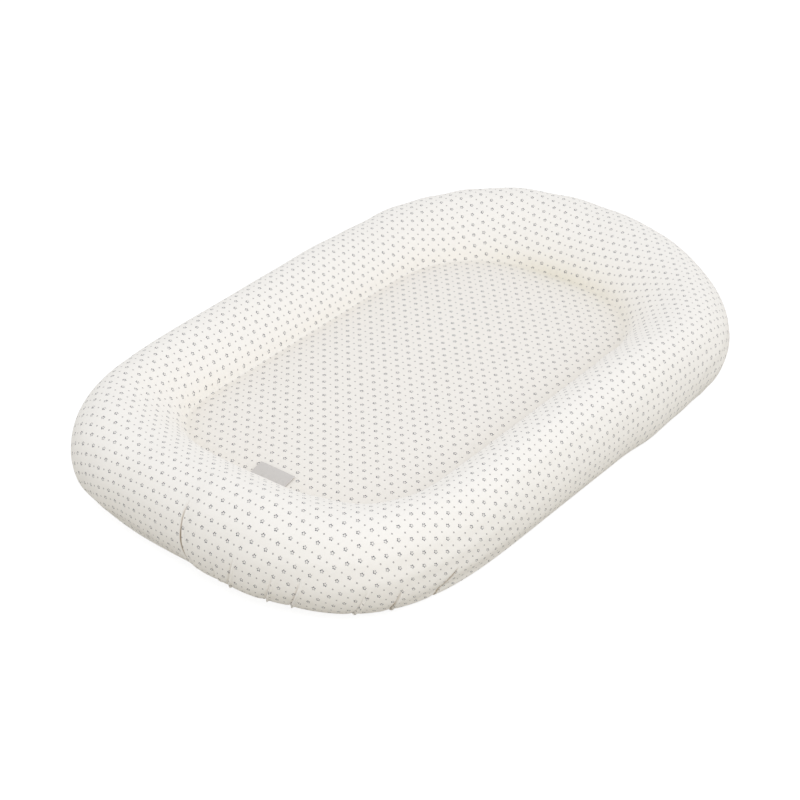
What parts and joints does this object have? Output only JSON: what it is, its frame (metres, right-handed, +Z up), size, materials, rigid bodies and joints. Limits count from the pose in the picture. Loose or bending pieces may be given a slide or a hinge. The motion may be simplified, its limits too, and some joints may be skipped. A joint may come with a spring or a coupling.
{
  "type": "infant lounger",
  "caption": "Oval infant lounger: a stuffed, printed cotton bumper ring sewn round a padded mat, with a zip in its underside.",
  "frame": {"origin": "on the floor under the middle of the lounger", "axes": "+X towards the rounder head end, +Y to the far long side of the picture, +Z up"},
  "size_m": [0.9, 0.566, 0.115],
  "materials": {
    "printed_cotton": "matt off-white woven cotton with a small grey-blue sprigged print",
    "plain_cotton": "matt off-white plain woven cotton",
    "polyester_fibre": "white polyester fibre",
    "cotton_tape": "matt off-white woven tape",
    "woven_grey": "matt light grey woven label, bare",
    "satin": "white satin ribbon, bare",
    "nylon": "off-white nylon",
    "lacquered_zinc": "off-white lacquer on zinc alloy"
  },
  "bodies": {
    "lounger": {"bumper_cover": "printed_cotton", "bumper_filling": "polyester_fibre", "bumper_inner_wall": "plain_cotton", "mat_seam_binding": "cotton_tape", "mat_top_panel": "printed_cotton", "mat_pad": "polyester_fibre", "base_panel_far": "plain_cotton", "base_panel_near": "plain_cotton", "outer_seam_tape": "cotton_tape", "woven_label": "woven_grey", "care_label": "satin", "zip_tape_far": "cotton_tape", "zip_tape_near": "cotton_tape", "zip_coil_far": "nylon", "zip_coil_near": "nylon", "zip_top_stop_far": "nylon", "zip_top_stop_near": "nylon", "zip_bottom_stop": "nylon"},
    "slider": {"zip_slider": "lacquered_zinc"},
    "pull": {"zip_pull": "lacquered_zinc"}
  },
  "joints": [
    {"name": "zip_slide", "type": "slide", "parent": "lounger", "child": "slider", "axis": [-1, 0, 0], "range_m": [0, 0.407]},
    {"name": "zip_pull_hinge", "type": "hinge", "parent": "slider", "child": "pull", "pos_m": [0.2086, 0, 0.0076], "axis": [0, -1, 0], "range_deg": [0, 175]}
  ]
}
